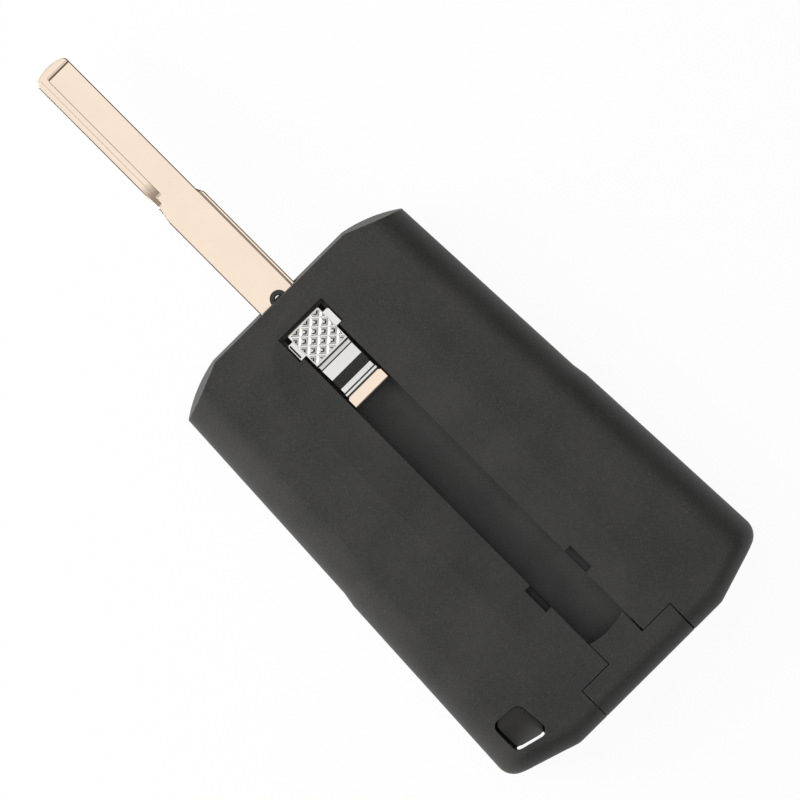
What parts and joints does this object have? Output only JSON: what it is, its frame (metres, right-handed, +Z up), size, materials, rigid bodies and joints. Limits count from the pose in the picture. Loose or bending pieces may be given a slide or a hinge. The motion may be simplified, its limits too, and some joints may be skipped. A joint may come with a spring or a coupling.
{
  "type": "key fob shell",
  "caption": "Card-shaped black key shell with a metal key blade that slides out of its front end, a sprung thumb lock and a ring hole in one corner.",
  "frame": {"origin": "middle of the flat button side that the shell lies on", "axes": "+Z up to the side with the slide slot, +Y towards the tip of the blade, +X to the right seen from above with the blade pointing away"},
  "size_m": [0.0534, 0.13, 0.0124],
  "materials": {
    "case_black": "fine spark-eroded grain, matte",
    "tray_black": "plain moulded, matte",
    "key_black": "smooth, satin",
    "rubber_black": "soft, matte",
    "blade_metal": "nickel plated, warm, satin",
    "bush_black": "smooth, glossy",
    "slider_chrome": "bright plated",
    "pin_steel": "plain",
    "spring_steel": "plain",
    "screw_steel": "blackened",
    "lens_clear": "clear, glossy"
  },
  "bodies": {
    "shell": {"back_cover": "case_black", "front_cover": "case_black", "end_plug": "case_black", "slide_tray": "tray_black", "tray_screws": "screw_steel", "rear_bumper": "rubber_black", "keypad": "rubber_black", "lamp_lens": "lens_clear", "board_tray": "tray_black", "battery_clip_plus": "spring_steel", "battery_clip_minus": "spring_steel", "chip_cap": "tray_black"},
    "slider": {"key_blade": "blade_metal", "blade_bush": "bush_black", "slider_saddle": "slider_chrome", "saddle_pins": "pin_steel", "lock_spring": "spring_steel"},
    "lock": {"lock_button": "slider_chrome"},
    "lock_press": {"lock_key": "key_black"},
    "unlock_press": {"unlock_key": "key_black"},
    "boot_press": {"boot_key": "key_black"}
  },
  "joints": [
    {"name": "blade_slide", "type": "slide", "parent": "shell", "child": "slider", "axis": [0, -1, 0], "range_m": [0, 0.0519]},
    {"name": "lock_rise", "type": "slide", "parent": "slider", "child": "lock", "axis": [0, 0, 1], "range_m": [0, 0.00055], "stiffness_N_per_m": 800, "springref_m": 0.0012, "deforming": ["lock_spring"]},
    {"name": "lock_key_press", "type": "slide", "parent": "shell", "child": "lock_press", "axis": [0, 0, 1], "range_m": [0, 0.0004], "stiffness_N_per_m": 500},
    {"name": "unlock_key_press", "type": "slide", "parent": "shell", "child": "unlock_press", "axis": [0, 0, 1], "range_m": [0, 0.0004], "stiffness_N_per_m": 500},
    {"name": "boot_key_press", "type": "slide", "parent": "shell", "child": "boot_press", "axis": [0, 0, 1], "range_m": [0, 0.0004], "stiffness_N_per_m": 500}
  ]
}
